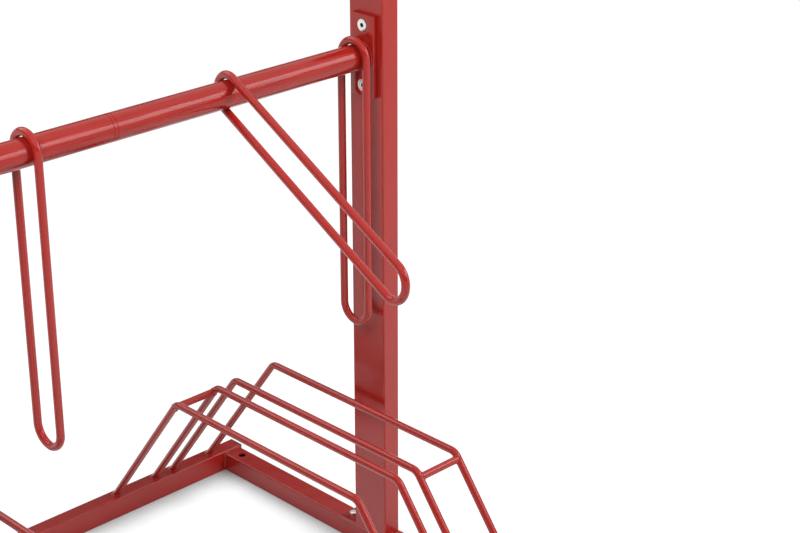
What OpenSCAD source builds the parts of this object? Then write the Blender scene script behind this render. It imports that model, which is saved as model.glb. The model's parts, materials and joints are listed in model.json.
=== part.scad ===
// Two-sided bicycle rack: four wheel holders on a ground frame, two posts and a
// top tube that carries four swinging lock loops.
// X runs along the top tube, Y across the rack, Z up. The origin is on the
// ground, midway between the posts. All sizes are in millimetres.

/* [Rack] */
// Clear length between the two posts
inner_length = 713; // [600:1:1200]
// Distance between the centre lines of the two ground rails
rail_spacing = 668; // [560:1:760]
// Height of the top tube's axis above the ground
tube_height = 725; // [680:1:780]

/* [Posts] */
// Width of a post across the rack
post_w = 60; // [50:1:80]
// Depth of a post along the rack
post_d = 27; // [24:1:30]
// Wall of the post
post_wall = 2; // [1.5:0.1:3]
// Outer corner radius of the post
post_corner_r = 2; // [1:0.1:4]
// Height of the post's open top above the ground
post_top = 850; // [845:1:1200]
// Thickness of the head of the post cap
cap_head_t = 3; // [2:0.5:5]
// Depth of the cap's skirt inside the post
cap_skirt_l = 14; // [8:1:25]

/* [Post base] */
// Thickness of the base plate
base_plate_t = 5; // [4:0.5:7]
// Width of the base plate along the rack
base_plate_w = 30; // [30:1:36]
// Distance from the side of the post to a base bolt's centre
base_bolt_offset = 19; // [10:0.5:25]
// Distance from a base bolt's centre to the end of the base plate
base_plate_edge = 12; // [9:0.5:20]
// Thread diameter of a base bolt
base_bolt_d = 6; // [5:1:8]
// Length of a base bolt under its head
base_bolt_l = 16; // [14:1:22]

/* [Ground frame] */
// Distance from a post's inner face out to the inner side of its foot
foot_setback = 4; // [0:0.5:6]
// Width of a foot along the rack
foot_w = 30; // [28:1:40]
// Height of a foot
foot_h = 28; // [24:1:31]
// Width of a ground rail across the rack
rail_w = 25; // [20:1:40]
// Height of a ground rail
rail_h = 31; // [28:1:40]
// Wall of the feet and rails
frame_wall = 2; // [1.5:0.1:3]
// Outer corner radius of the feet and rails
frame_corner_r = 2; // [1:0.1:4]
// Thickness of the head of a rail plug
plug_head_t = 3; // [2:0.5:5]
// Depth of a rail plug inside the rail
plug_skirt_l = 12; // [8:1:20]
// Diameter of a ground anchor hole through a foot
anchor_hole_d = 11; // [7:0.5:14]
// Distance from a rail's centre line to the nearer anchor hole
anchor_inset = 35; // [25:1:60]

/* [Top tube] */
// Outer diameter of the top tube
tube_d = 33.7; // [32:0.1:38]
// Wall of the top tube
tube_wall = 2.6; // [2:0.1:4]
// Place of the coupler's centre along the rack
coupler_x = -42; // [-60:1:60]
// Length of the coupler's flush collar
collar_l = 5; // [4:0.5:12]
// Length of each coupler spigot inside its tube
spigot_l = 60; // [30:1:80]
// Wall of the coupler's spigots
spigot_wall = 3; // [2:0.1:5]
// Width of an end plate across the rack
end_plate_w = 40; // [38:1:48]
// Height of an end plate
end_plate_h = 106; // [100:1:130]
// Thickness of an end plate
end_plate_t = 7; // [6:0.5:10]
// Distance from an end plate screw's centre to the end of the plate
plate_screw_inset = 14; // [12:0.5:18]
// Thread diameter of an end plate screw
plate_screw_d = 8; // [6:1:10]
// Length of an end plate screw, head included
plate_screw_l = 18; // [16:1:22]

/* [Lock loops] */
// Diameter of a loop's rod
loop_rod_d = 10; // [8:0.1:12]
// Room between the tube and the inside of a loop's arch
loop_clear = 0.8; // [0.5:0.1:0.9]
// Distance from the tube's axis to the far end of a loop
loop_reach = 366; // [250:1:420]
// Distance of loop 1 from the right-hand post
loop_1_inset = 21.5; // [16:0.5:60]
// Distance of loop 2 from the right-hand post
loop_2_inset = 223.5; // [150:0.5:260]
// Distance of loop 3 from the left-hand post
loop_3_inset = 205; // [120:0.5:260]
// Distance of loop 4 from the left-hand post
loop_4_inset = 21.5; // [16:0.5:60]
// Angle to which loop 2 is swung out from hanging
loop_2_swing = 66.5; // [0:0.5:80]
// Angle by which loop 2 leans along the tube, away from the right-hand post
loop_2_lean = 5.5; // [0:0.5:8]

/* [Wheel holders] */
// Diameter of the holder rods
rod_d = 10; // [8:0.5:12]
// Clear width of a wheel slot between its two rods
slot_w = 60; // [50:1:66]
// Clear width between a post and the nearest holder rod
post_gap = 11.5; // [6:0.5:30]
// Clear width between the two slots of a pair
pair_gap = 23; // [16:1:40]
// Height of the top of the holder rods
holder_h = 240; // [180:1:300]
// Distance between the two bend corners of a rod
crest_l = 356.2; // [240:0.1:440]
// Radius of a rod's bends at its centre line
bend_r = 16; // [12:0.5:30]
// Distance down the leg from the bend corner to the crossbar
crossbar_drop = 9.5; // [8:0.5:20]

/* [Hidden] */
$fn = 64;

red = "#b02a26";
zinc = "#c9ccce";
black = "#232323";

// Looseness of a plug or spigot in its tube, and of a screw in its nut
fit = 0.2;
// Looseness of a screw in a plain hole
hole_play = 1;
// Room round a countersunk head
sink_play = 0.1;
// How far a cut runs past the face that it opens
over = 1;
// Hexagon bolts and nuts have sizes that go with their thread
function hex_af(d) = 1.625 * d;
function hex_nut_h(d) = 0.8 * d;
function hex_head_h(d) = 0.66 * d;
function across_corners(af) = af / cos(30);

// Countersunk screw heads and their sockets do too
screw_head_d = 2.2 * plate_screw_d;
socket_af = 0.625 * plate_screw_d;
socket_depth = 0.4 * plate_screw_d;

// The base plate is flush with the post's inner face, and the foot is set back from it
post_x = (inner_length + post_d) / 2;
base_x = (inner_length + base_plate_w) / 2;
foot_x = (inner_length + foot_w) / 2 + foot_setback;
frame_end_x = foot_x + foot_w / 2;
rail_y = rail_spacing / 2;
plate_top_z = foot_h + base_plate_t;
base_bolt_y = post_w / 2 + base_bolt_offset;
base_plate_l = 2 * (base_bolt_y + base_plate_edge);

tube_bore_d = tube_d - 2 * tube_wall;
spigot_d = tube_bore_d - fit;
plate_screw_z = end_plate_h / 2 - plate_screw_inset;
loop_r = tube_d / 2 + loop_clear + loop_rod_d / 2;
loop_leg_l = loop_reach - loop_r - loop_rod_d / 2;

// A holder rod's level run lies at rod_z, and its bend corners at crest_y
rod_z = holder_h - rod_d / 2;
crest_y = crest_l / 2;
leg_angle = atan2(rod_z - rail_h, rail_y - crest_y);
leg_l = norm([rod_z - rail_h, rail_y - crest_y]);
bend_tangent = bend_r * tan(leg_angle / 2);
slot_pitch = slot_w + rod_d;
outer_slot_x = inner_length / 2 - post_gap - rod_d - slot_w / 2;
inner_slot_x = outer_slot_x - slot_pitch - pair_gap - rod_d;

// Place of a wheel slot along the rack, counted from the right-hand post
function slot_x(n) = [outer_slot_x, inner_slot_x, -inner_slot_x, -outer_slot_x][n - 1];
// The odd slots take a wheel from the rear, and their crossbar is in front
function slot_end(n) = n % 2 == 1 ? 1 : -1;

// Turns a drawing from the XY plane into the rack's YZ plane
module in_yz() {
    rotate([90, 0, 90]) children();
}

// Two copies of the children, at plus and minus d along Y
module pair_y(d) {
    for (s = [-1, 1]) translate([0, s * d, 0]) children();
}

// Outline of a rectangular section with rounded corners
module rounded_rect(w, h, r) {
    square([w - 2 * r, h], center = true);
    square([w, h - 2 * r], center = true);
    for (sx = [-1, 1], sy = [-1, 1])
        translate([sx * (w / 2 - r), sy * (h / 2 - r)]) circle(r);
}

// Rectangular hollow section along Z, from 0 to l
module box_section(w, h, wall, r, l) {
    linear_extrude(l) difference() {
        rounded_rect(w, h, r);
        rounded_rect(w - 2 * wall, h - 2 * wall, r / 3);
    }
}

// Plastic plug along Z: a head outside the section and a hollow skirt inside it
module plug(w, h, wall, r, head_t, skirt_l) {
    skirt_w = w - 2 * wall - 2 * fit;
    skirt_h = h - 2 * wall - 2 * fit;
    linear_extrude(head_t) rounded_rect(w, h, r);
    translate([0, 0, -skirt_l]) linear_extrude(skirt_l) difference() {
        rounded_rect(skirt_w, skirt_h, r / 2);
        rounded_rect(skirt_w - 2 * wall, skirt_h - 2 * wall, r / 4);
    }
}

// Hexagon nut along Z, from 0 up
module hex_nut(d) {
    difference() {
        cylinder(d = across_corners(hex_af(d)), h = hex_nut_h(d), $fn = 6);
        translate([0, 0, -over]) cylinder(d = d + fit, h = hex_nut_h(d) + 2 * over);
    }
}

// Straight rod from the origin, towards minus Y
module straight_rod(d, l) {
    rotate([90, 0, 0]) cylinder(d = d, h = l);
}

// Part ring of rod round the origin in the XY plane, from the X axis on
module bent_rod(d, r, sweep) {
    rotate_extrude(angle = sweep) translate([r, 0]) circle(d = d);
}

// Children at both screws of an end plate, with Z pointing into the post
module at_plate_screws(side, x) {
    for (s = [-1, 1])
        translate([side * x, 0, tube_height + s * plate_screw_z])
            rotate([0, side * 90, 0]) children();
}

// Children at both base bolts of a post, at a height above the ground
module at_base_bolts(side, z) {
    translate([side * base_x, 0, z]) pair_y(base_bolt_y) children();
}

module post(side) {
    color(red) difference() {
        translate([side * post_x, 0, plate_top_z]) rotate([0, 0, 90])
            box_section(post_w, post_d, post_wall, post_corner_r, post_top - plate_top_z);
        at_plate_screws(side, inner_length / 2 - over)
            cylinder(d = plate_screw_d + hole_play, h = post_wall + 2 * over);
    }
}

module post_cap(side) {
    color(black) translate([side * post_x, 0, post_top]) rotate([0, 0, 90])
        plug(post_w, post_d, post_wall, post_corner_r, cap_head_t, cap_skirt_l);
}

// Flat plate under the post, which rests on the foot
module base_plate(side) {
    color(red) difference() {
        translate([side * base_x, 0, foot_h + base_plate_t / 2])
            cube([base_plate_w, base_plate_l, base_plate_t], center = true);
        at_base_bolts(side, foot_h - over)
            cylinder(d = base_bolt_d + hole_play, h = base_plate_t + 2 * over);
    }
}

// Hexagon head bolts that hold the base plate on the foot
module base_bolts(side) {
    color(zinc) at_base_bolts(side, plate_top_z) {
        rotate([0, 0, 30])
            cylinder(d = across_corners(hex_af(base_bolt_d)), h = hex_head_h(base_bolt_d), $fn = 6);
        translate([0, 0, -base_bolt_l]) cylinder(d = base_bolt_d, h = base_bolt_l);
    }
}

// Nuts welded under the foot's top wall
module foot_weld_nuts(side) {
    color(zinc) at_base_bolts(side, foot_h - frame_wall - hex_nut_h(base_bolt_d))
        hex_nut(base_bolt_d);
}

// Box section between the two rails, holed for the base bolts and the anchors
module foot(side) {
    foot_l = rail_spacing - rail_w;
    color(red) difference() {
        translate([side * foot_x, foot_l / 2, foot_h / 2]) rotate([90, 0, 0])
            box_section(foot_w, foot_h, frame_wall, frame_corner_r, foot_l);
        at_base_bolts(side, foot_h - frame_wall - over)
            cylinder(d = base_bolt_d + hole_play, h = frame_wall + 2 * over);
        translate([side * foot_x, 0, -over]) pair_y(rail_y - anchor_inset)
            cylinder(d = anchor_hole_d, h = foot_h + 2 * over);
    }
}

module rail(side) {
    color(red) translate([-frame_end_x, side * rail_y, rail_h / 2]) in_yz()
        box_section(rail_w, rail_h, frame_wall, frame_corner_r, 2 * frame_end_x);
}

module rail_plugs(side) {
    color(black) for (turn = [0, 180])
        translate([0, side * rail_y, rail_h / 2]) rotate([0, 0, turn])
            translate([frame_end_x, 0, 0]) in_yz()
                plug(rail_w, rail_h, frame_wall, frame_corner_r, plug_head_t, plug_skirt_l);
}

// Length of the top tube between two places along the rack
module tube_between(x0, x1) {
    color(red) translate([x0, 0, tube_height]) rotate([0, 90, 0]) difference() {
        cylinder(d = tube_d, h = x1 - x0);
        translate([0, 0, -over]) cylinder(d = tube_bore_d, h = x1 - x0 + 2 * over);
    }
}

module top_tube_right() {
    tube_between(coupler_x + collar_l / 2, inner_length / 2 - end_plate_t);
}

module top_tube_left() {
    tube_between(end_plate_t - inner_length / 2, coupler_x - collar_l / 2);
}

// Sleeve that slides into both tubes, with a collar flush with their outside
module tube_coupler() {
    sleeve_l = collar_l + 2 * spigot_l;
    color(red) translate([coupler_x, 0, tube_height]) rotate([0, 90, 0]) difference() {
        union() {
            cylinder(d = tube_d, h = collar_l, center = true);
            cylinder(d = spigot_d, h = sleeve_l, center = true);
        }
        cylinder(d = spigot_d - 2 * spigot_wall, h = sleeve_l + 2 * over, center = true);
    }
}

module end_plate(side) {
    sink_d = screw_head_d + 2 * sink_play;
    color(red) difference() {
        translate([side * (inner_length - end_plate_t) / 2, 0, tube_height])
            cube([end_plate_t, end_plate_w, end_plate_h], center = true);
        at_plate_screws(side, inner_length / 2 - end_plate_t) {
            translate([0, 0, -over])
                cylinder(d = plate_screw_d + hole_play, h = end_plate_t + 2 * over);
            cylinder(d1 = sink_d, d2 = 0, h = sink_d / 2);
        }
    }
}

// Countersunk screws with a hexagon socket, driven from between the posts
module plate_screws(side) {
    color(zinc) at_plate_screws(side, inner_length / 2 - end_plate_t) difference() {
        union() {
            cylinder(d1 = screw_head_d, d2 = 0, h = screw_head_d / 2);
            cylinder(d = plate_screw_d, h = plate_screw_l);
        }
        translate([0, 0, -over])
            cylinder(d = across_corners(socket_af), h = socket_depth + over, $fn = 6);
    }
}

// Nuts welded inside the post, behind the end plate
module post_weld_nuts(side) {
    color(zinc) at_plate_screws(side, inner_length / 2 + post_wall) hex_nut(plate_screw_d);
}

// Closed loop of round rod whose upper arch goes round the top tube
module lock_loop(x, swing, lean) {
    color(red) translate([x, 0, tube_height]) in_yz() rotate([0, 0, -swing]) rotate([lean, 0, 0]) {
        bent_rod(loop_rod_d, loop_r, 180);
        translate([0, -loop_leg_l]) rotate([0, 0, 180]) bent_rod(loop_rod_d, loop_r, 180);
        for (s = [-1, 1]) translate([s * loop_r, 0]) straight_rod(loop_rod_d, loop_leg_l);
    }
}

// Half of a holder rod, from its middle to below the rail's top
module half_rod() {
    run_l = crest_y - bend_tangent;
    translate([0, rod_z]) rotate([0, 0, 90]) straight_rod(rod_d, run_l);
    translate([run_l, rod_z - bend_r]) rotate([0, 0, 90 - leg_angle]) {
        bent_rod(rod_d, bend_r, leg_angle);
        translate([bend_r, 0]) straight_rod(rod_d, leg_l - bend_tangent + rod_d);
    }
}

// Rod of slot n, on its right or left: a level run, two bends and two legs that
// are cut level where they stand on the rails
module holder_rod(n, side) {
    color(red) translate([slot_x(n) + side * slot_pitch / 2, 0, 0]) difference() {
        in_yz() for (s = [0, 1]) mirror([s, 0]) half_rod();
        translate([0, 0, rail_h / 2])
            cube([2 * rod_d, rail_spacing + 4 * rod_d, rail_h], center = true);
    }
}

// Crossbar of slot n, coped round its two rods.
// It closes the slot on the side that the wheel doesn't come from.
module crossbar(n) {
    bar_y = crest_y + crossbar_drop * cos(leg_angle);
    bar_z = rod_z - crossbar_drop * sin(leg_angle);
    color(red) difference() {
        translate([slot_x(n), -slot_end(n) * bar_y, bar_z]) rotate([0, 90, 0])
            cylinder(d = rod_d, h = slot_pitch - rod_d / 2, center = true);
        holder_rod(n, -1);
        holder_rod(n, 1);
    }
}

post(1);  // post_right
post(-1);  // post_left
post_cap(1);  // post_cap_right
post_cap(-1);  // post_cap_left
base_plate(1);  // base_plate_right
base_plate(-1);  // base_plate_left
base_bolts(1);  // base_bolts_right
base_bolts(-1);  // base_bolts_left
foot_weld_nuts(1);  // foot_weld_nuts_right
foot_weld_nuts(-1);  // foot_weld_nuts_left
foot(1);  // foot_right
foot(-1);  // foot_left
rail(-1);  // rail_front
rail(1);  // rail_rear
rail_plugs(-1);  // rail_plugs_front
rail_plugs(1);  // rail_plugs_rear
top_tube_right();
top_tube_left();
tube_coupler();
end_plate(1);  // end_plate_right
end_plate(-1);  // end_plate_left
plate_screws(1);  // plate_screws_right
plate_screws(-1);  // plate_screws_left
post_weld_nuts(1);  // post_weld_nuts_right
post_weld_nuts(-1);  // post_weld_nuts_left
lock_loop(inner_length / 2 - loop_1_inset, 0, 0);  // lock_loop_1
lock_loop(inner_length / 2 - loop_2_inset, loop_2_swing, loop_2_lean);  // lock_loop_2
lock_loop(loop_3_inset - inner_length / 2, 0, 0);  // lock_loop_3
lock_loop(loop_4_inset - inner_length / 2, 0, 0);  // lock_loop_4
holder_rod(1, 1);  // holder_1_rod_right
holder_rod(1, -1);  // holder_1_rod_left
crossbar(1);  // holder_1_crossbar
holder_rod(2, 1);  // holder_2_rod_right
holder_rod(2, -1);  // holder_2_rod_left
crossbar(2);  // holder_2_crossbar
holder_rod(3, 1);  // holder_3_rod_right
holder_rod(3, -1);  // holder_3_rod_left
crossbar(3);  // holder_3_crossbar
holder_rod(4, 1);  // holder_4_rod_right
holder_rod(4, -1);  // holder_4_rod_left
crossbar(4);  // holder_4_crossbar
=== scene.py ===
import json
import math

import bmesh
import bpy
from mathutils import Matrix, Quaternion, Vector


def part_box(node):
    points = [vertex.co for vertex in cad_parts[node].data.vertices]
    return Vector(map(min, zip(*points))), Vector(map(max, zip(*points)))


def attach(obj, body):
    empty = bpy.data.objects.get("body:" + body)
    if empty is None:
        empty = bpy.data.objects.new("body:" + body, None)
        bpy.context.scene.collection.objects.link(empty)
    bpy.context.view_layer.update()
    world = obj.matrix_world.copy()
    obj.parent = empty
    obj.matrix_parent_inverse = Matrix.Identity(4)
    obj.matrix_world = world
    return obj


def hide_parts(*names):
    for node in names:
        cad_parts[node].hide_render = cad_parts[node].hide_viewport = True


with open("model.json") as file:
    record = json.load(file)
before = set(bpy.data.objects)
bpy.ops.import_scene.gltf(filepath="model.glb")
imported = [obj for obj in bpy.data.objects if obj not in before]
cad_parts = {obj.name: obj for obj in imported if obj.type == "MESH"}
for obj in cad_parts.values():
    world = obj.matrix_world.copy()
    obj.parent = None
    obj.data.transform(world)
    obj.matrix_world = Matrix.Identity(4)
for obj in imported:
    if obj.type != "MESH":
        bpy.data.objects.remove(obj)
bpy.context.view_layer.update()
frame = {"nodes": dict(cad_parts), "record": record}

# Camera: it stands to the left of the rack, in front of it and above it, and looks
# down on the right-hand half of the top tube. Places are in metres, angles in degrees.
CAMERA_PLACE = Vector((-1.2254, -1.6700, 1.4290))
CAMERA_YAW = 45.50
CAMERA_PITCH = 23.37
CAMERA_ROLL = -0.07
FOCAL_MM = 85.85
SENSOR_MM = 36.0
CLIP_NEAR = 0.05
CLIP_FAR = 100.0

camera_data = bpy.data.cameras.new("rack_camera")
camera_data.lens = FOCAL_MM
camera_data.sensor_width = SENSOR_MM
camera_data.clip_start = CLIP_NEAR
camera_data.clip_end = CLIP_FAR
camera = bpy.data.objects.new("rack_camera", camera_data)
bpy.context.scene.collection.objects.link(camera)
camera.location = CAMERA_PLACE
yaw = math.radians(CAMERA_YAW)
pitch = math.radians(CAMERA_PITCH)
look = Vector((math.cos(pitch) * math.cos(yaw), math.cos(pitch) * math.sin(yaw), -math.sin(pitch)))
camera.rotation_mode = "QUATERNION"
camera.rotation_quaternion = (
    look.to_track_quat("-Z", "Y") @ Quaternion((0, 0, 1), math.radians(CAMERA_ROLL)))
bpy.context.scene.camera = camera
bpy.context.scene.view_settings.view_transform = "Standard"


# Ground rails: two rectangular hollow sections of cold-rolled steel, sawn to length.
# They lie flat on the ground, in front and at the back, and carry all the rest.
# The red is a polyester powder coat, sprayed on the welded frame and baked.
MM = 0.001
COAT_RED = "#b5271e"
COAT_DEEP_RED = "#a62019"
COAT_IOR = 1.5
PEEL_MM = 2.4
WAVE_MM = 14.0
WAVE_HEIGHT = 2.5
GLOSS_CLOUD_MM = 22.0
TONE_MM = 90.0
NIB_SPACING_MM = 26.0
NIB_RADIUS_MM = 0.572
NIB_HEIGHT = 1.2
STREAK_LOW, STREAK_HIGH = 0.34, 0.44
NOISE_LOW, NOISE_HIGH = 0.3, 0.7


def linear(hex_colour):
    """Linear colour with alpha from an sRGB hex string."""
    channels = [int(hex_colour[i:i + 2], 16) / 255 for i in (1, 3, 5)]
    return [c / 12.92 if c <= 0.04045 else ((c + 0.055) / 1.055) ** 2.4 for c in channels] + [1.0]


def add_node(tree, kind, settings=None, inputs=None):
    """A new node with its settings, and its inputs set to values or linked to sockets.
    Inputs of the same name go by number: in a Mix node 0 is the factor, 2 and 3 are the
    two values, and 6 and 7 the two colours."""
    new = tree.nodes.new(kind)
    for name, value in (settings or {}).items():
        setattr(new, name, value)
    for name, value in (inputs or {}).items():
        if isinstance(value, bpy.types.NodeSocket):
            tree.links.new(value, new.inputs[name])
        else:
            new.inputs[name].default_value = value
    return new


def new_material(name):
    """A new node material, its tree, its output node and its object coordinates."""
    material = bpy.data.materials.new(name)
    material.use_nodes = True
    tree = material.node_tree
    tree.nodes.clear()
    output = add_node(tree, "ShaderNodeOutputMaterial")
    place = add_node(tree, "ShaderNodeTexCoord").outputs["Object"]
    return material, tree, output, place


def powder_coat(name, red, deep_red, grain_mm, relief_mm, stretch, lines, roughest, smoothest,
                gloss_level):
    """Baked polyester powder: a hard gloss skin with orange peel, slow waves and a few
    nibs, so that highlights break up a little, and a red that drifts with its thickness.
    Stretch draws the pattern out along X, and lines is how far the red follows the grain,
    because a drawn tube shows the lines of its die through the skin. They are drawn
    coarser than the real ones, which are too fine to show."""
    material, tree, output, place = new_material(name)
    place = add_node(tree, "ShaderNodeMapping", None, {
        "Vector": place, "Scale": (1 / stretch, 1.0, 1.0)}).outputs["Vector"]
    peel = add_node(tree, "ShaderNodeTexNoise", None, {
        "Vector": place, "Scale": 1 / (grain_mm * MM), "Detail": 1.0})
    tone = add_node(tree, "ShaderNodeTexNoise", None, {
        "Vector": place, "Scale": 1 / (TONE_MM * MM), "Detail": 3.0})
    streak = add_node(tree, "ShaderNodeMapRange", None, {
        "Value": peel.outputs["Fac"], "From Min": STREAK_LOW, "From Max": STREAK_HIGH})
    drift = add_node(tree, "ShaderNodeMix", None, {
        0: lines, 2: tone.outputs["Fac"], 3: streak.outputs["Result"]})
    colour = add_node(tree, "ShaderNodeMix", {"data_type": "RGBA"}, {
        0: drift.outputs[0], 6: linear(deep_red), 7: linear(red)})
    gloss = add_node(tree, "ShaderNodeTexNoise", None, {
        "Vector": place, "Scale": 1 / (GLOSS_CLOUD_MM * MM), "Detail": 4.0})
    roughness = add_node(tree, "ShaderNodeMapRange", None, {
        "Value": gloss.outputs["Fac"], "From Min": NOISE_LOW, "From Max": NOISE_HIGH,
        "To Min": smoothest, "To Max": roughest})
    wave = add_node(tree, "ShaderNodeTexNoise", None, {
        "Vector": place, "Scale": 1 / (WAVE_MM * MM), "Detail": 1.0})
    nib_place = add_node(tree, "ShaderNodeTexVoronoi", {"feature": "F1"}, {
        "Vector": place, "Scale": 1 / (NIB_SPACING_MM * MM)})
    nib = add_node(tree, "ShaderNodeMapRange", {"interpolation_type": "SMOOTHSTEP"}, {
        "Value": nib_place.outputs["Distance"], "From Min": 0.0,
        "From Max": NIB_RADIUS_MM / NIB_SPACING_MM, "To Min": 1.0, "To Max": 0.0})
    waves = add_node(tree, "ShaderNodeMath", {"operation": "MULTIPLY_ADD"}, {
        0: wave.outputs["Fac"], 1: WAVE_HEIGHT, 2: peel.outputs["Fac"]})
    skin = add_node(tree, "ShaderNodeMath", {"operation": "MULTIPLY_ADD"}, {
        0: nib.outputs["Result"], 1: NIB_HEIGHT, 2: waves.outputs["Value"]})
    bump = add_node(tree, "ShaderNodeBump", None, {
        "Height": skin.outputs["Value"], "Strength": 1.0, "Distance": relief_mm * MM})
    shader = add_node(tree, "ShaderNodeBsdfPrincipled", None, {
        "Base Color": colour.outputs[2], "Roughness": roughness.outputs["Result"],
        "IOR": COAT_IOR, "Specular IOR Level": gloss_level, "Normal": bump.outputs["Normal"]})
    tree.links.new(shader.outputs["BSDF"], output.inputs["Surface"])
    return material


def paint(node, material):
    """Gives a CAD piece its finish."""
    mesh = frame["nodes"][node].data
    mesh.materials.clear()
    mesh.materials.append(material)


red_coat = powder_coat(
    "red_powder_coat", red=COAT_RED, deep_red=COAT_DEEP_RED, grain_mm=PEEL_MM, relief_mm=0.03,
    stretch=1.0, lines=0.0, roughest=0.27, smoothest=0.18, gloss_level=0.5)
for rail in ("rail_front", "rail_rear"):
    paint(rail, red_coat)
low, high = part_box("rail_rear")
rail_top = high.z
rail_y = (low.y + high.y) / 2
rail_inner_y = low.y


# Rail plugs: moulded polypropylene plugs with a flat head and a hollow skirt, pushed
# into the sawn ends of the rails so that they shed water and have no sharp edge.
PLUG_EDGE_MM = 0.9
EDGE_STEPS = 3
MERGE_MM = 0.005
FLAT_ANGLE = math.radians(1)
SHARP_ANGLE = math.radians(35)
PLASTIC_BLACK = "#1b1b1c"
PLASTIC_DUSTY = "#2c2c2d"
PLASTIC_IOR = 1.49
PLASTIC_GRAIN_MM = 0.8
PLASTIC_RELIEF_MM = 0.05
DUST_MM = 15.0


def moulded_plastic():
    """Black polypropylene from an eroded mould: matt, with an even grain and a trace of
    dust. The grain is drawn coarser than the real one, which is too fine to show."""
    material, tree, output, place = new_material("black_moulded_plastic")
    grain = add_node(tree, "ShaderNodeTexNoise", None, {
        "Vector": place, "Scale": 1 / (PLASTIC_GRAIN_MM * MM), "Detail": 3.0})
    dust = add_node(tree, "ShaderNodeTexNoise", None, {
        "Vector": place, "Scale": 1 / (DUST_MM * MM), "Detail": 4.0})
    colour = add_node(tree, "ShaderNodeMix", {"data_type": "RGBA"}, {
        0: dust.outputs["Fac"], 6: linear(PLASTIC_BLACK), 7: linear(PLASTIC_DUSTY)})
    roughness = add_node(tree, "ShaderNodeMapRange", None, {
        "Value": dust.outputs["Fac"], "From Min": NOISE_LOW, "From Max": NOISE_HIGH,
        "To Min": 0.42, "To Max": 0.6})
    bump = add_node(tree, "ShaderNodeBump", None, {
        "Height": grain.outputs["Fac"], "Strength": 1.0, "Distance": PLASTIC_RELIEF_MM * MM})
    shader = add_node(tree, "ShaderNodeBsdfPrincipled", None, {
        "Base Color": colour.outputs[2], "Roughness": roughness.outputs["Result"],
        "IOR": PLASTIC_IOR, "Normal": bump.outputs["Normal"]})
    tree.links.new(shader.outputs["BSDF"], output.inputs["Surface"])
    return material


def finished(name, mesh, material):
    """An object in the scene for a mesh, smooth between its sharp edges."""
    mesh.shade_smooth()
    mesh.set_sharp_from_angle(angle=SHARP_ANGLE)
    mesh.materials.clear()
    mesh.materials.append(material)
    piece = bpy.data.objects.new(name, mesh)
    bpy.context.scene.collection.objects.link(piece)
    return piece


def eased_copy(name, node, edge_mm, material):
    """A copy of a CAD piece, merged, with its sharp edges eased by a small bevel."""
    mesh = bpy.data.meshes.new(name)
    shape = bmesh.new()
    shape.from_mesh(frame["nodes"][node].data)
    bmesh.ops.remove_doubles(shape, verts=shape.verts[:], dist=MERGE_MM * MM)
    bmesh.ops.dissolve_limit(shape, angle_limit=FLAT_ANGLE, verts=shape.verts[:],
                             edges=shape.edges[:])
    sharp = [e for e in shape.edges if len(e.link_faces) == 2 and e.calc_face_angle() > SHARP_ANGLE]
    bmesh.ops.bevel(shape, geom=sharp, offset=edge_mm * MM, segments=EDGE_STEPS, profile=0.5,
                    affect="EDGES", clamp_overlap=True)
    bmesh.ops.triangulate(shape, faces=[f for f in shape.faces if len(f.verts) > 4])
    shape.to_mesh(mesh)
    shape.free()
    # The CAD piece's stored normals no longer fit the eased edges.
    for layer in [a for a in mesh.attributes if a.name == "custom_normal"]:
        mesh.attributes.remove(layer)
    return finished(name, mesh, material)


def seat(piece, body, slot, *nodes):
    """Puts a piece on its body and hides the CAD pieces it stands for. Slot is not used."""
    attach(piece, body)
    if nodes:
        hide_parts(*nodes)


black_plastic = moulded_plastic()
for place in ("front", "rear"):
    node = "rail_plugs_" + place
    seat(eased_copy("moulded_rail_plugs_" + place, node, PLUG_EDGE_MM, black_plastic),
         "rack", "black_plastic", node)


# Feet: box sections across the rack under the posts, fillet welded between the rails.
# The beads are laid by hand, with small regular ripples that the coat rounds off.
FOOT_BEAD_MM = 2.0
BEAD_GROUND_GAP_MM = 4.0
BEAD_SIDES = 12
RIPPLE_MM = 2.2
RIPPLE_DEPTH = 0.07
RIPPLE_STEPS = 6


def geometry_tree(name, sizes):
    """A geometry tree with a geometry input, named sizes and a material, and its sockets."""
    tree = bpy.data.node_groups.new(name, "GeometryNodeTree")
    tree.interface.new_socket("Geometry", in_out="INPUT", socket_type="NodeSocketGeometry")
    for size, kind in sizes.items():
        tree.interface.new_socket(size, in_out="INPUT", socket_type="NodeSocket" + kind)
    tree.interface.new_socket("Material", in_out="INPUT", socket_type="NodeSocketMaterial")
    tree.interface.new_socket("Geometry", in_out="OUTPUT", socket_type="NodeSocketGeometry")
    return tree, add_node(tree, "NodeGroupInput").outputs


def end_tree(tree, given, geometry):
    """Ends a geometry tree in real geometry with its material."""
    real = add_node(tree, "GeometryNodeRealizeInstances", None, {"Geometry": geometry})
    coated = add_node(tree, "GeometryNodeSetMaterial", None, {
        "Geometry": real.outputs["Geometry"], "Material": given["Material"]})
    add_node(tree, "NodeGroupOutput", None, {"Geometry": coated.outputs["Geometry"]})
    return tree


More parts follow.
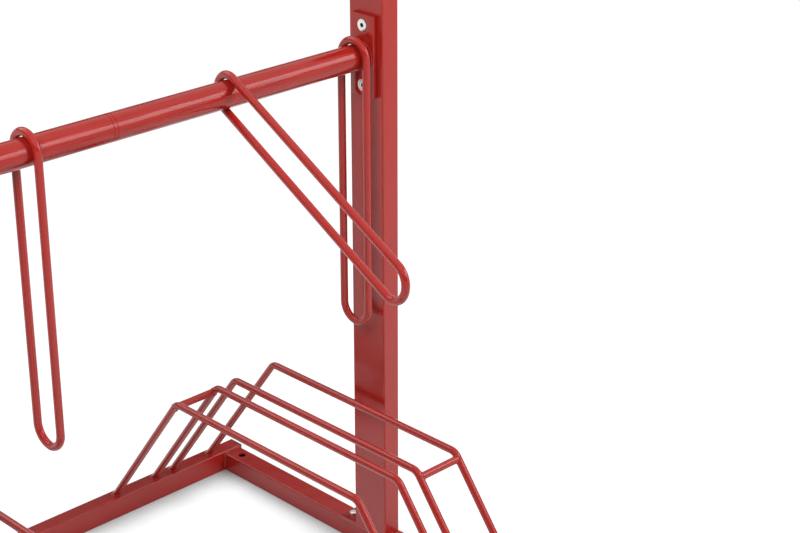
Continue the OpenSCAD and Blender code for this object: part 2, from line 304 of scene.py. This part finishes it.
def weld_bead_tree():
    """Sweeps a round bead with ripples along each line of the mesh."""
    tree, given = geometry_tree("weld_bead", {
        "Bead radius": "Float", "Ripple pitch": "Float", "Ripple depth": "Float"})
    line = add_node(tree, "GeometryNodeMeshToCurve", None, {"Mesh": given["Geometry"]})
    step = add_node(tree, "ShaderNodeMath", {"operation": "DIVIDE"}, {
        0: given["Ripple pitch"], 1: RIPPLE_STEPS})
    even = add_node(tree, "GeometryNodeResampleCurve", {"mode": "LENGTH"}, {
        "Curve": line.outputs["Curve"], "Length": step.outputs["Value"]})
    along = add_node(tree, "GeometryNodeSplineParameter").outputs["Length"]
    phase = add_node(tree, "ShaderNodeMath", {"operation": "DIVIDE"}, {
        0: along, 1: given["Ripple pitch"]})
    angle = add_node(tree, "ShaderNodeMath", {"operation": "MULTIPLY"}, {
        0: phase.outputs["Value"], 1: math.tau})
    wave = add_node(tree, "ShaderNodeMath", {"operation": "SINE"}, {0: angle.outputs["Value"]})
    swell = add_node(tree, "ShaderNodeMath", {"operation": "MULTIPLY_ADD"}, {
        0: wave.outputs["Value"], 1: given["Ripple depth"], 2: 1.0})
    ring = add_node(tree, "GeometryNodeCurvePrimitiveCircle", None, {
        "Resolution": BEAD_SIDES, "Radius": given["Bead radius"]})
    bead = add_node(tree, "GeometryNodeCurveToMesh", None, {
        "Curve": even.outputs["Curve"], "Profile Curve": ring.outputs["Curve"],
        "Scale": swell.outputs["Value"], "Fill Caps": True})
    return end_tree(tree, given, bead.outputs["Mesh"])


def plain_mesh(name, start, tree, values):
    """The plain mesh that a geometry tree with these input values makes of a start mesh."""
    source = bpy.data.objects.new(name + "_source", start)
    bpy.context.scene.collection.objects.link(source)
    modifier = source.modifiers.new("make", "NODES")
    modifier.node_group = tree
    for item in tree.interface.items_tree:
        if item.in_out == "INPUT" and item.name in values:
            modifier[item.identifier] = values[item.name]
    depsgraph = bpy.context.evaluated_depsgraph_get()
    result = bpy.data.meshes.new_from_object(source.evaluated_get(depsgraph), depsgraph=depsgraph)
    source.modifiers.clear()
    bpy.data.objects.remove(source)
    result.name = name
    return result


def grown(name, lines, tree, sizes, material):
    """A piece that a geometry tree grows on lines. A line is its points and whether it
    closes on itself."""
    points, edges = [], []
    for line, closed in lines:
        first, count = len(points), len(line)
        points += line
        edges += [(first + k, first + (k + 1) % count) for k in range(count if closed else count - 1)]
    mesh = bpy.data.meshes.new(name + "_lines")
    mesh.from_pydata(points, edges, [])
    return finished(name, plain_mesh(name, mesh, tree, dict(sizes, Material=material)), material)


def weld(name, lines, bead_mm):
    """Weld beads along lines, under the red coat, on the rack."""
    sizes = {"Bead radius": bead_mm * MM, "Ripple pitch": RIPPLE_MM * MM,
             "Ripple depth": RIPPLE_DEPTH}
    seat(grown(name, lines, weld_beads, sizes, red_coat), "rack", "red_powder_coat")


weld_beads = weld_bead_tree()
foot_lines = []
for foot in ("foot_right", "foot_left"):
    paint(foot, red_coat)
    low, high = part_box(foot)
    start_z = low.z + BEAD_GROUND_GAP_MM * MM
    for end_y in (-rail_inner_y, rail_inner_y):
        foot_lines.append(([(low.x, end_y, start_z), (low.x, end_y, high.z),
                            (high.x, end_y, high.z), (high.x, end_y, start_z)], False))
weld("foot_welds", foot_lines, FOOT_BEAD_MM)


# Holder rods: 10 mm round bar, bent twice over a former so that its level run lies
# between two slanting legs, and welded upright on both rails. Two rods make one slot,
# and a short crossbar between them closes it on one side.
CREST_MM = 356.2
BEND_MM = 16.0
BEND_STEPS = 20
ROD_SIDES = 48
JOIN_MM = 0.01
ROD_BEAD_MM = 1.5
CROSSBAR_BEAD_MM = 1.2
BEAD_POINTS = 48


def bent_rod_tree():
    """Rounds the corners of each line to the bend radius and sweeps the rod along it."""
    tree, given = geometry_tree("bent_rod", {
        "Rod diameter": "Float", "Bend radius": "Float", "Sides": "Int"})
    line = add_node(tree, "GeometryNodeMeshToCurve", None, {"Mesh": given["Geometry"]})
    bent = add_node(tree, "GeometryNodeFilletCurve", {"mode": "POLY"}, {
        "Curve": line.outputs["Curve"], "Count": BEND_STEPS, "Radius": given["Bend radius"],
        "Limit Radius": True})
    radius = add_node(tree, "ShaderNodeMath", {"operation": "MULTIPLY"}, {
        0: given["Rod diameter"], 1: 0.5})
    ring = add_node(tree, "GeometryNodeCurvePrimitiveCircle", None, {
        "Resolution": given["Sides"], "Radius": radius.outputs["Value"]})
    rod = add_node(tree, "GeometryNodeCurveToMesh", None, {
        "Curve": bent.outputs["Curve"], "Profile Curve": ring.outputs["Curve"],
        "Fill Caps": True})
    joined = add_node(tree, "GeometryNodeMergeByDistance", None, {
        "Geometry": rod.outputs["Mesh"], "Distance": JOIN_MM * MM})
    return end_tree(tree, given, joined.outputs["Geometry"])


def cut_level(piece, height):
    """Cuts off what reaches below a height and closes the cuts."""
    shape = bmesh.new()
    shape.from_mesh(piece.data)
    cut = bmesh.ops.bisect_plane(shape, geom=shape.verts[:] + shape.edges[:] + shape.faces[:],
                                 plane_co=(0, 0, height), plane_no=(0, 0, 1), clear_inner=True)
    rims = [e for e in cut["geom_cut"] if isinstance(e, bmesh.types.BMEdge)]
    bmesh.ops.holes_fill(shape, edges=rims)
    shape.to_mesh(piece.data)
    shape.free()
    piece.data.set_sharp_from_angle(angle=SHARP_ANGLE)


bent_rods = bent_rod_tree()
turns = [math.tau * k / BEAD_POINTS for k in range(BEAD_POINTS)]
rod_foot_lines, crossbar_lines = [], []
for slot in range(1, 5):
    paint("holder_%d_crossbar" % slot, red_coat)
    bar_low, bar_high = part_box("holder_%d_crossbar" % slot)
    bar_place = (bar_low + bar_high) / 2
    for side in ("right", "left"):
        node = "holder_%d_rod_%s" % (slot, side)
        low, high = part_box(node)
        x = (low.x + high.x) / 2
        radius = (high.x - low.x) / 2
        run_z = high.z - radius
        crest_y = CREST_MM * MM / 2
        # Each leg runs on below the rail's top, where it is then cut level.
        leg = Vector((0, rail_y - crest_y, rail_top - run_z)).normalized()
        beyond = 2 * radius * leg.y
        deep_z = rail_top + 2 * radius * leg.z
        line = [(x, -rail_y - beyond, deep_z), (x, -crest_y, run_z),
                (x, crest_y, run_z), (x, rail_y + beyond, deep_z)]
        sizes = {"Rod diameter": 2 * radius, "Bend radius": BEND_MM * MM, "Sides": ROD_SIDES}
        rod = grown("holder_%d_bent_rod_%s" % (slot, side), [(line, False)], bent_rods, sizes, red_coat)
        cut_level(rod, rail_top)
        seat(rod, "rack", "red_powder_coat", node)
        # A slanting leg meets the rail in an oval.
        for end_y in (-rail_y, rail_y):
            oval = [(x + radius * math.cos(t), end_y + radius / -leg.z * math.sin(t), rail_top)
                    for t in turns]
            rod_foot_lines.append((oval, True))
        # The crossbar's end is cut to lie round the rod.
        toward_bar = math.copysign(1, bar_place.x - x)
        down = Vector((0, math.copysign(leg.y, bar_place.y), leg.z))
        across = Vector((0, -down.z, down.y))
        saddle = [Vector((x + toward_bar * radius * abs(math.cos(t)), bar_place.y, bar_place.z))
                  + radius * (math.cos(t) * down + math.sin(t) * across) for t in turns]
        crossbar_lines.append((saddle, True))
weld("rod_foot_welds", rod_foot_lines, ROD_BEAD_MM)
weld("crossbar_welds", crossbar_lines, CROSSBAR_BEAD_MM)


# Base plates: flat bar with two punched holes, welded under each post and bolted down
# on the foot, so that the rack can be taken apart for transport.
PLATE_EDGE_MM = 0.5

for side in ("right", "left"):
    node = "base_plate_" + side
    seat(eased_copy("eased_" + node, node, PLATE_EDGE_MM, red_coat), "rack", "red_powder_coat", node)


# Posts: 60 x 27 mm rectangular hollow section, sawn square at the top. The weld round
# the foot stops at the inner face, where the base plate is flush with the post.
POST_BEAD_MM = 1.8
POST_CORNER_MM = 2.0
CORNER_STEPS = 5

corner = POST_CORNER_MM * MM
post_lines = []
for side, outward in (("right", 1), ("left", -1)):
    paint("post_" + side, red_coat)
    low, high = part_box("post_" + side)
    inner_x, outer_x = (low.x, high.x) if outward > 0 else (high.x, low.x)
    turn_x = outer_x - outward * corner
    # From the inner face out, round the two outer corners, and back.
    line = [(inner_x + outward * corner, low.y, low.z), (turn_x, low.y, low.z)]
    for sign in (-1, 1):
        for k in range(1, CORNER_STEPS):
            share = k / CORNER_STEPS
            angle = math.pi / 2 * (share if sign < 0 else 1 - share)
            line.append((turn_x + outward * corner * math.sin(angle),
                         sign * (high.y - corner + corner * math.cos(angle)), low.z))
    line += [(turn_x, high.y, low.z), (inner_x + outward * corner, high.y, low.z)]
    post_lines.append((line, False))
weld("post_foot_welds", post_lines, POST_BEAD_MM)


# Post caps: moulded polypropylene caps with a flat top and a hollow skirt, pushed into
# the open tops of the posts so that no rain gets in.
CAP_EDGE_MM = 1.0

for side in ("right", "left"):
    node = "post_cap_" + side
    seat(eased_copy("moulded_" + node, node, CAP_EDGE_MM, black_plastic), "rack", "black_plastic", node)


# Base bolts: M6 hexagon head bolts of zinc-plated steel, cold formed, with a chamfer
# over the corners. They pass through the plate into nuts welded inside the foot.
# The head's sizes are shares of the bolt's diameter or of its width across flats.
BOLT_MM = 6.0
HEX_AF = 1.625
HEAD_HEIGHT = 0.66
HEAD_FACE_FLATS = 0.46
WASHER_FACE_FLATS = 0.47
WASHER_FACE_HEIGHT = 0.025
CHAMFER_HEIGHT = 0.16
CHAMFER_STEPS = 5
CHAMFER_SLOPE = math.tan(math.radians(30))
TIP_RADIUS = 0.42
TIP_HEIGHT = 0.1
HEAD_TURN = 0.35
FASTENER_SIDES = 72
ZINC_LIGHT = "#f0efec"
ZINC_DARK = "#e4e3e0"
# Grey painted into a screw's socket: painted shade, with thin plating and dirt.
SOCKET_SHADE_AND_DIRT_GREY = "#808284"
ZINC_CLOUD_MM = 6.0
SCRATCH_MM = 0.6
SCRATCH_DEPTH_MM = 0.008


def zinc_plating():
    """Bright zinc: a thin pale metal layer with a cool sheen, a little cloudy from the
    passivation, and finely scratched by the wrench. The scratches are drawn coarser than
    the real ones, which are too fine to show. In a recess it is painted a dull grey: painted
    shade, and also the thin plating and dirt that stay there."""
    material, tree, output, place = new_material("zinc_plated_steel")
    cloud = add_node(tree, "ShaderNodeTexNoise", None, {
        "Vector": place, "Scale": 1 / (ZINC_CLOUD_MM * MM), "Detail": 3.0})
    plated = add_node(tree, "ShaderNodeMix", {"data_type": "RGBA"}, {
        0: cloud.outputs["Fac"], 6: linear(ZINC_DARK), 7: linear(ZINC_LIGHT)})
    shade_and_dirt_recess = add_node(tree, "ShaderNodeAttribute", {"attribute_name": "shade_and_dirt_recess"})
    # Painted shade and dirt: the marked recess is coloured grey.
    colour = add_node(tree, "ShaderNodeMix", {"data_type": "RGBA"}, {
        0: shade_and_dirt_recess.outputs["Fac"], 6: plated.outputs[2], 7: linear(SOCKET_SHADE_AND_DIRT_GREY)})
    roughness = add_node(tree, "ShaderNodeMapRange", None, {
        "Value": cloud.outputs["Fac"], "From Min": NOISE_LOW, "From Max": NOISE_HIGH,
        "To Min": 0.3, "To Max": 0.36})
    scratches = add_node(tree, "ShaderNodeTexNoise", None, {
        "Vector": place, "Scale": 1 / (SCRATCH_MM * MM), "Detail": 3.0})
    bump = add_node(tree, "ShaderNodeBump", None, {
        "Height": scratches.outputs["Fac"], "Strength": 1.0, "Distance": SCRATCH_DEPTH_MM * MM})
    shader = add_node(tree, "ShaderNodeBsdfPrincipled", None, {
        "Base Color": colour.outputs[2], "Metallic": 1.0,
        "Roughness": roughness.outputs["Result"], "Normal": bump.outputs["Normal"]})
    tree.links.new(shader.outputs["BSDF"], output.inputs["Surface"])
    return material


def turned(name, rings, sides, hollow, shade_and_dirt_rings=0):
    """A mesh turned about Z. A ring is a height and a radius, or a radius for each angle.
    Its ends are closed, or joined to each other for a hollow piece. The last rings can
    be marked as lying in a recess, where the zinc is painted grey for shade and dirt."""
    mesh = bpy.data.meshes.new(name)
    shape = bmesh.new()
    loops = []
    for height, radius in rings:
        loop = []
        for k in range(sides):
            angle = math.tau * k / sides
            r = radius(angle) if callable(radius) else radius
            loop.append(shape.verts.new((r * math.cos(angle), r * math.sin(angle), height)))
        loops.append(loop)
    for low, high in zip(loops, loops[1:] + loops[:1] if hollow else loops[1:]):
        for k in range(sides):
            j = (k + 1) % sides
            shape.faces.new((low[k], low[j], high[j], high[k]))
    if not hollow:
        shape.faces.new(loops[0])
        shape.faces.new(loops[-1])
    bmesh.ops.recalc_face_normals(shape, faces=shape.faces[:])
    shape.to_mesh(mesh)
    shape.free()
    # Marks the last rings for the grey of painted shade and dirt.
    shade_and_dirt_recess = mesh.attributes.new("shade_and_dirt_recess", "FLOAT", "POINT")
    for k in range((len(rings) - shade_and_dirt_rings) * sides, len(rings) * sides):
        shade_and_dirt_recess.data[k].value = 1.0
    return mesh


def hexagon(flats):
    """Radius of a hexagon across its flats, for each angle."""
    return lambda angle: flats / 2 / math.cos((angle % (math.pi / 3)) - math.pi / 6)


def hex_bolt(d, length):
    """Hexagon head bolt along Z, with the underside of its head at zero."""
    flats = HEX_AF * d
    head = HEAD_HEIGHT * d
    face = HEAD_FACE_FLATS * flats
    washer_r = WASHER_FACE_FLATS * flats
    washer_z = WASHER_FACE_HEIGHT * d
    prism = hexagon(flats)
    rings = [(-length, TIP_RADIUS * d), (-length + TIP_HEIGHT * d, 0.5 * d), (0.0, 0.5 * d),
             (0.0, washer_r), (washer_z, washer_r), (washer_z, prism)]
    for k in range(CHAMFER_STEPS + 1):
        z = head - (CHAMFER_STEPS - k) / CHAMFER_STEPS * CHAMFER_HEIGHT * d
        cone = face + (head - z) / CHAMFER_SLOPE
        rings.append((z, lambda angle, cone=cone: min(prism(angle), cone)))
    return turned("hex_bolt", rings, FASTENER_SIDES, False)


def fastener_tree():
    """Puts a copy of the fastener on each point, turned as the point's facing says."""
    tree, given = geometry_tree("fasteners", {"Fastener": "Object"})
    points = add_node(tree, "GeometryNodeMeshToPoints", None, {"Mesh": given["Geometry"]})
    body = add_node(tree, "GeometryNodeObjectInfo", None, {"Object": given["Fastener"]})
    facing = add_node(tree, "GeometryNodeInputNamedAttribute", {"data_type": "FLOAT_VECTOR"},
                      {"Name": "facing"})
    rotation = add_node(tree, "FunctionNodeEulerToRotation", None, {
        "Euler": facing.outputs["Attribute"]})
    copies = add_node(tree, "GeometryNodeInstanceOnPoints", None, {
        "Points": points.outputs["Points"], "Instance": body.outputs["Geometry"],
        "Rotation": rotation.outputs["Rotation"]})
    return end_tree(tree, given, copies.outputs["Instances"])


def fastened(name, mesh, places, material):
    """Copies of a fastener at places, each a point and three angles, as one plain mesh."""
    pattern = finished(name + "_pattern", mesh, material)
    spots = bpy.data.meshes.new(name + "_spots")
    spots.from_pydata([spot for spot, angles in places], [], [])
    facing = spots.attributes.new("facing", "FLOAT_VECTOR", "POINT")
    for k, (spot, angles) in enumerate(places):
        facing.data[k].vector = angles
    copies = plain_mesh(name, spots, fasteners, {"Fastener": pattern, "Material": material})
    bpy.data.objects.remove(pattern)
    return finished(name, copies, material)


fasteners = fastener_tree()
zinc = zinc_plating()
for side in ("right", "left"):
    node = "base_bolts_" + side
    low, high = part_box(node)
    plate_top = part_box("base_plate_" + side)[1].z
    bolt_x = (low.x + high.x) / 2
    bolt_y = high.y - HEX_AF * BOLT_MM * MM / 2
    places = [((bolt_x, sign * bolt_y, plate_top), (0, 0, HEAD_TURN * sign)) for sign in (-1, 1)]
    bolts = fastened("zinc_" + node, hex_bolt(BOLT_MM * MM, plate_top - low.z), places, zinc)
    seat(bolts, "rack", "zinc_plated_steel", node)


# Weld nuts: zinc-plated hexagon nuts, tacked inside the feet and the posts, so that
# the bolts and screws can be driven from outside.
for side in ("right", "left"):
    paint("foot_weld_nuts_" + side, zinc)
    paint("post_weld_nuts_" + side, zinc)


# Top tube: drawn round tube in two lengths. They meet on a turned coupler with a flush
# collar, and the small chamfers at both joints show as two fine rings.
SEAM_CHAMFER_MM = 0.35
SEAM_DEPTH_MM = 0.7
TUBE_WALL_MM = 2.6
SPIGOT_FIT_MM = 0.1
SPIGOT_WALL_MM = 3.0
TUBE_SIDES = 128
# The tube's red is painted a little deeper than the frame's coat red, as painted shade.
SHADED_TUBE_RED = "#ac231b"
DIE_LINE_RED = "#8e1b15"
DIE_LINE_MM = 1.3
DIE_LINE_STRETCH = 40.0


def along_tube(mesh, start_x, height):
    """Lays a turned mesh along the rack, with its zero at start_x on the tube's axis."""
    mesh.transform(Matrix.Translation((start_x, 0, height)) @ Matrix.Rotation(math.pi / 2, 4, "Y"))
    return mesh


# Its deeper red is painted shade on the same powder coat as the frame.
drawn_coat = powder_coat(
    "red_powder_coat_on_drawn_tube", red=SHADED_TUBE_RED, deep_red=DIE_LINE_RED, grain_mm=DIE_LINE_MM,
    relief_mm=0.12, stretch=DIE_LINE_STRETCH, lines=0.7, roughest=0.18, smoothest=0.11,
    gloss_level=0.4)
chamfer = SEAM_CHAMFER_MM * MM
seam_depth = SEAM_DEPTH_MM * MM
for side in ("right", "left"):
    node = "top_tube_" + side
    low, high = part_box(node)
    tube_r = (high.z - low.z) / 2
    tube_z = (high.z + low.z) / 2
    bore_r = tube_r - TUBE_WALL_MM * MM
    length = high.x - low.x
    rings = [(0.0, bore_r), (0.0, tube_r - seam_depth), (chamfer, tube_r),
             (length, tube_r), (length, bore_r)]
    if side == "left":
        rings = [(length - z, r) for z, r in rings]
    tube = along_tube(turned(node, rings, TUBE_SIDES, True), low.x, tube_z)
    seat(finished("drawn_" + node, tube, drawn_coat), "rack", "red_powder_coat", node)

low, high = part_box("tube_coupler")
collar_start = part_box("top_tube_left")[1].x - low.x
collar_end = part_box("top_tube_right")[0].x - low.x
sleeve_l = high.x - low.x
spigot_r = bore_r - SPIGOT_FIT_MM * MM
sleeve_bore_r = spigot_r - SPIGOT_WALL_MM * MM
collar = turned("tube_coupler", [
    (0.0, sleeve_bore_r), (0.0, spigot_r - chamfer), (chamfer, spigot_r),
    (collar_start, spigot_r), (collar_start, tube_r - seam_depth),
    (collar_start + chamfer, tube_r), (collar_end - chamfer, tube_r),
    (collar_end, tube_r - seam_depth), (collar_end, spigot_r),
    (sleeve_l - chamfer, spigot_r), (sleeve_l, spigot_r - chamfer), (sleeve_l, sleeve_bore_r)],
    TUBE_SIDES, True)
seat(finished("turned_tube_coupler", along_tube(collar, low.x, tube_z), drawn_coat),
     "rack", "red_powder_coat", "tube_coupler")


# End plates: laser-cut plates with two countersunk holes, fillet welded on the ends of
# the top tube and screwed flat on the posts.
TUBE_BEAD_MM = 2.0

tube_lines = []
for side in ("right", "left"):
    node = "end_plate_" + side
    seat(eased_copy("eased_" + node, node, PLATE_EDGE_MM, red_coat), "rack", "red_powder_coat", node)
    tube_low, tube_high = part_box("top_tube_" + side)
    end_x = tube_high.x if side == "right" else tube_low.x
    circle = [(end_x, tube_r * math.cos(t), tube_z + tube_r * math.sin(t)) for t in turns]
    tube_lines.append((circle, True))
weld("tube_end_welds", tube_lines, TUBE_BEAD_MM)


# End plate screws: M8 countersunk screws of zinc-plated steel with a hexagon socket,
# driven from between the posts into the nuts behind the post's wall. The head's sizes
# are shares of the screw's diameter.
SCREW_MM = 8.0
SCREW_HEAD = 2.2
SCREW_GAP_MM = 0.6
SCREW_INSET_MM = 14.0
SOCKET_AF = 0.625
SOCKET_MOUTH = 0.03
SOCKET_DEPTH = 0.4
SOCKET_POINT = 0.12


def countersunk_screw(d, length):
    """Countersunk screw along Z, driven towards minus Z, with its face at zero."""
    head_r = SCREW_HEAD * d / 2 - SCREW_GAP_MM * MM
    socket = hexagon(SOCKET_AF * d)
    mouth = SOCKET_AF * d / 2 / math.cos(math.pi / 6) + SOCKET_MOUTH * d
    shank = [(-length, TIP_RADIUS * d), (-length + TIP_HEIGHT * d, 0.5 * d),
             (0.5 * d - head_r, 0.5 * d)]
    rounded_rim = [(-0.04 * d, head_r - 0.04 * d), (-0.02 * d, head_r - 0.03 * d),
                   (0.0, head_r - 0.06 * d), (0.0, mouth)]
    shade_and_dirt_recess = [(-0.04 * d, socket), (-SOCKET_DEPTH * d, socket), (-SOCKET_DEPTH * d, 0.2 * d),
              (-SOCKET_DEPTH * d - SOCKET_POINT * d, 0.01 * d)]
    return turned("countersunk_screw", shank + rounded_rim + shade_and_dirt_recess, FASTENER_SIDES, False,
                  len(shade_and_dirt_recess))


for side, outward in (("right", 1), ("left", -1)):
    node = "plate_screws_" + side
    plate_low, plate_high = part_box("end_plate_" + side)
    face_x = plate_low.x if outward > 0 else plate_high.x
    low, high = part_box(node)
    reach = (plate_high.z - plate_low.z) / 2 - SCREW_INSET_MM * MM
    places = [((face_x, 0, tube_z + sign * reach),
               (math.pi / 2, HEAD_TURN * sign, -outward * math.pi / 2)) for sign in (-1, 1)]
    screws = fastened("zinc_" + node, countersunk_screw(SCREW_MM * MM, high.x - low.x), places, zinc)
    seat(screws, "rack", "zinc_plated_steel", node)


# Lock loops: 10 mm round bar bent into a closed loop round the top tube, with its
# butt weld ground flush. They swing freely about the tube, and the second one is shown
# drawn out to the front, where it leans a little to the left.
DRAWN_LOOP = 2
DRAWN_SWING = math.radians(66.5)
DRAWN_LEAN = math.radians(5.5)

hanging_low, hanging_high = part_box("lock_loop_1")
loop_rod_r = (hanging_high.x - hanging_low.x) / 2
loop_r = (hanging_high.y - hanging_low.y) / 2 - loop_rod_r
loop_reach = tube_z - hanging_low.z
loop_joints = {joint["child"]: joint["pos_m"][0] for joint in frame["record"]["behaviour"]["joints"]}
for number in range(1, 5):
    swing, lean = (DRAWN_SWING, DRAWN_LEAN) if number == DRAWN_LOOP else (0.0, 0.0)
    centre = Vector((loop_joints["loop_%d" % number], 0, tube_z))
    down = Vector((0, -math.sin(swing), -math.cos(swing)))
    down = math.cos(lean) * down - math.sin(lean) * Vector((1, 0, 0))
    across = Vector((0, -math.cos(swing), math.sin(swing)))
    # Four corners, which the bend radius turns into a half circle at each end.
    line = [centre + a * across * loop_r + b * down
            for a, b in ((-1, -loop_r), (1, -loop_r), (1, loop_reach - loop_rod_r),
                         (-1, loop_reach - loop_rod_r))]
    sizes = {"Rod diameter": 2 * loop_rod_r, "Bend radius": loop_r, "Sides": ROD_SIDES}
    loop = grown("swinging_loop_%d" % number, [(line, True)], bent_rods, sizes, red_coat)
    seat(loop, "loop_%d" % number, "red_powder_coat", "lock_loop_%d" % number)


# Studio: a pale floor, white all round, dark cloth walls outside the picture, and four
# soft boxes. Two of them stand near the rack and are kept out of its gloss. Places and
# sizes are in metres, and powers in watts.
FLOOR_SIZE = 30.0
FLOOR_WHITE = "#f0f7f6"
SEEN_WHITE = "#9aa5a4"
SEEN_LIFT = 0.92
# Painted contact shadow: ambient occlusion darkens the floor's lift near the rack.
PAINTED_SHADOW_REACH = 0.065
PAINTED_SHADOW_DEPTH = 2.0
PAINTED_SHADOW_SAMPLES = 4
SCUFFS_PER_METRE = 3.0
AMBIENT = 0.16
CLOTH_BLACK = "#101010"
CLOTH_RADIUS = 6.0
CLOTH_LOW = 1.6
CLOTH_HIGH = 3.5
CLOTH_SIDES = 64
# Each box: its name, place, aim, size and power, and whether it shows in the gloss.
SOFT_BOXES = [
    ("left_key", (-0.9, -0.6, 1.6), (0.3, 0.0, 0.6), (0.8, 0.8), 15.0, False),
    ("right_key", (0.9, -1.2, 1.6), (0.3, 0.0, 0.6), (0.8, 0.8), 11.5, False),
    ("right_soft_box", (1.5, -1.5, 1.6), (0.1, 0.0, 0.725), (1.6, 0.95), 18.5, True),
    ("rear_soft_box", (-0.6, 2.4, 2.6), (0.0, 0.0, 0.3), (2.4, 2.4), 24.0, True),
]


def stage_piece(name, shape, material):
    """A piece of the studio, which is no part of the rack."""
    mesh = bpy.data.meshes.new(name)
    shape.to_mesh(mesh)
    shape.free()
    mesh.materials.append(material)
    piece = bpy.data.objects.new(name, mesh)
    bpy.context.scene.collection.objects.link(piece)
    return piece


def seen_directly(tree):
    """One for camera, glossy and transmission rays, which see the background."""
    path = add_node(tree, "ShaderNodeLightPath").outputs
    first = add_node(tree, "ShaderNodeMath", {"operation": "MAXIMUM"}, {
        0: path["Is Camera Ray"], 1: path["Is Glossy Ray"]})
    return add_node(tree, "ShaderNodeMath", {"operation": "MAXIMUM"}, {
        0: first.outputs["Value"], 1: path["Is Transmission Ray"]}).outputs["Value"]


def pale_floor():
    """Matt white studio floor. What the eye sees of it is lifted to white, less so close
    to the rack, where ambient occlusion darkens the lift into a painted contact shadow."""
    material, tree, output, place = new_material("pale_studio_floor")
    scuffs = add_node(tree, "ShaderNodeTexNoise", None, {
        "Vector": place, "Scale": SCUFFS_PER_METRE, "Detail": 2.0})
    roughness = add_node(tree, "ShaderNodeMapRange", None, {
        "Value": scuffs.outputs["Fac"], "To Min": 0.85, "To Max": 0.95})
    seen = seen_directly(tree)
    colour = add_node(tree, "ShaderNodeMix", {"data_type": "RGBA"}, {
        0: seen, 6: linear(FLOOR_WHITE), 7: linear(SEEN_WHITE)})
    matt = add_node(tree, "ShaderNodeBsdfPrincipled", None, {
        "Base Color": colour.outputs[2], "Roughness": roughness.outputs["Result"],
        "Specular IOR Level": 0.0})
    # The painted contact shadow: the lift is darkened where the rack hems the floor in.
    occlusion = add_node(tree, "ShaderNodeAmbientOcclusion", {"samples": PAINTED_SHADOW_SAMPLES}, {
        "Distance": PAINTED_SHADOW_REACH})
    painted_shadow = add_node(tree, "ShaderNodeMath", {"operation": "POWER"}, {
        0: occlusion.outputs["AO"], 1: PAINTED_SHADOW_DEPTH})
    level = add_node(tree, "ShaderNodeMath", {"operation": "MULTIPLY"}, {
        0: painted_shadow.outputs["Value"], 1: SEEN_LIFT})
    strength = add_node(tree, "ShaderNodeMath", {"operation": "MULTIPLY"}, {
        0: seen, 1: level.outputs["Value"]})
    lift = add_node(tree, "ShaderNodeEmission", None, {"Strength": strength.outputs["Value"]})
    both = add_node(tree, "ShaderNodeAddShader", None, {
        0: matt.outputs["BSDF"], 1: lift.outputs["Emission"]})
    tree.links.new(both.outputs["Shader"], output.inputs["Surface"])
    return material


def black_cloth():
    """Black duvetyne, which gives back almost no light."""
    material, tree, output, _ = new_material("black_stage_cloth")
    shader = add_node(tree, "ShaderNodeBsdfDiffuse", None, {"Color": linear(CLOTH_BLACK)})
    tree.links.new(shader.outputs["BSDF"], output.inputs["Surface"])
    return material


floor_shape = bmesh.new()
bmesh.ops.create_grid(floor_shape, x_segments=1, y_segments=1, size=FLOOR_SIZE / 2)
stage_piece("studio_floor", floor_shape, pale_floor())

cloth_shape = bmesh.new()
bmesh.ops.create_cone(cloth_shape, cap_ends=False, segments=CLOTH_SIDES, radius1=CLOTH_RADIUS,
                      radius2=CLOTH_RADIUS, depth=CLOTH_HIGH - CLOTH_LOW,
                      matrix=Matrix.Translation((0, 0, (CLOTH_HIGH + CLOTH_LOW) / 2)))
cloth = stage_piece("studio_cloth", cloth_shape, black_cloth())
cloth.visible_camera = False

for name, place, aim, size, power, shows_in_gloss in SOFT_BOXES:
    lamp = bpy.data.lights.new(name, "AREA")
    lamp.shape = "RECTANGLE"
    lamp.size, lamp.size_y = size
    lamp.energy = power
    box = bpy.data.objects.new(name, lamp)
    bpy.context.scene.collection.objects.link(box)
    box.location = place
    box.rotation_mode = "QUATERNION"
    box.rotation_quaternion = (Vector(aim) - Vector(place)).to_track_quat("-Z", "Y")
    box.visible_camera = False
    box.visible_glossy = shows_in_gloss

world = bpy.data.worlds.new("studio_world")
bpy.context.scene.world = world
world.use_nodes = True
world_tree = world.node_tree
world_level = add_node(world_tree, "ShaderNodeMapRange", None, {
    "Value": seen_directly(world_tree), "To Min": AMBIENT, "To Max": 1.0})
background = world_tree.nodes["Background"]
background.inputs["Color"].default_value = (1, 1, 1, 1)
world_tree.links.new(world_level.outputs["Result"], background.inputs["Strength"])
